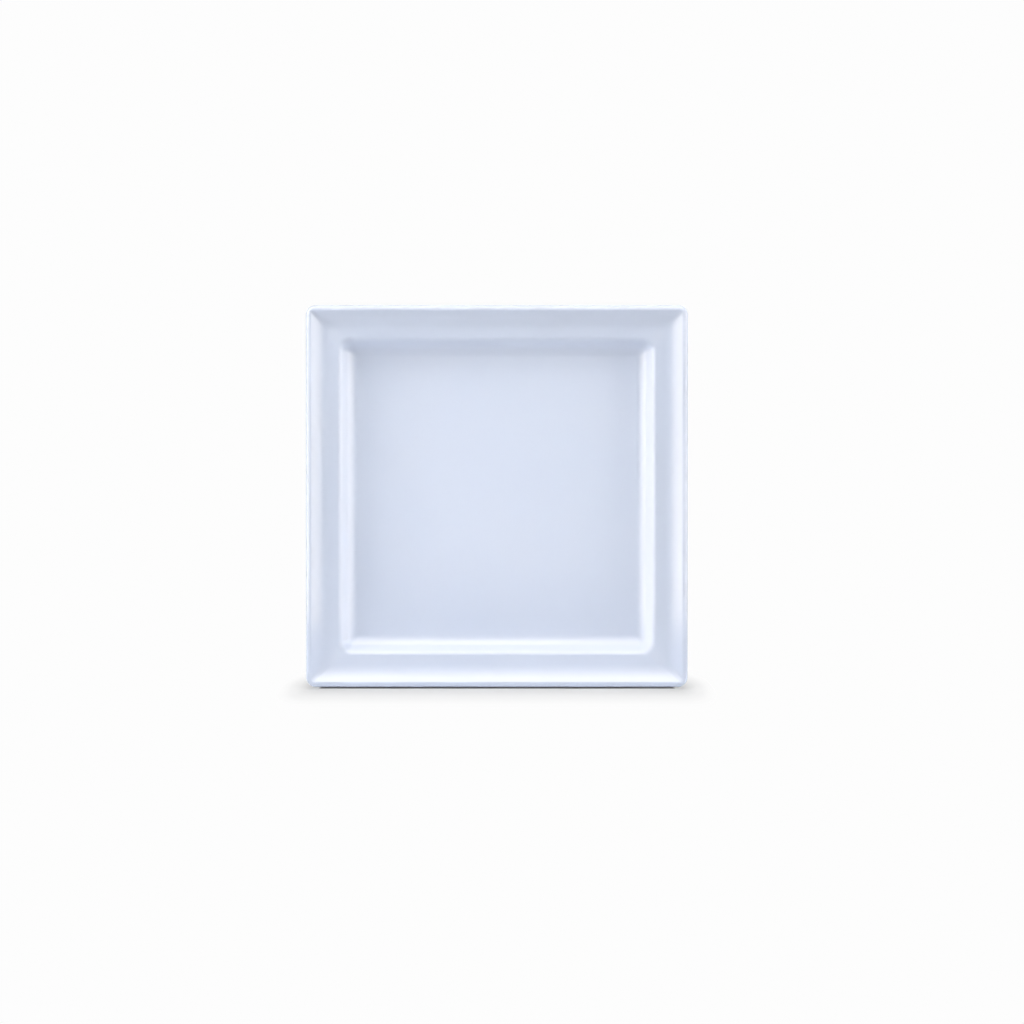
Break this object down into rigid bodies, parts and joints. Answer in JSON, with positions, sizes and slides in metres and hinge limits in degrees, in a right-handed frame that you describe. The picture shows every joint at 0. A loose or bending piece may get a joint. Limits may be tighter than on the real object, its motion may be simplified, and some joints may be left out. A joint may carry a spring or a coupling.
{
  "type": "melamine plate",
  "caption": "Square melamine plate with a rounded lip, a coved rim, a flat-floored well with sloping walls and a foot ring, under a clear glossy glaze.",
  "frame": {"origin": "on the table, under the middle of the well, at the foot of the plate", "axes": "+Z up out of the eating face, +X and +Y along the sides; the picture's up is +Y and its right is +X"},
  "size_m": [0.254, 0.254, 0.019],
  "materials": {
    "melamine": "satin gloss, pale cool white",
    "clear_glaze": "high gloss, clear"
  },
  "bodies": {
    "root": {"moulded_body": "melamine", "glaze_layer": "clear_glaze"}
  },
  "joints": []
}
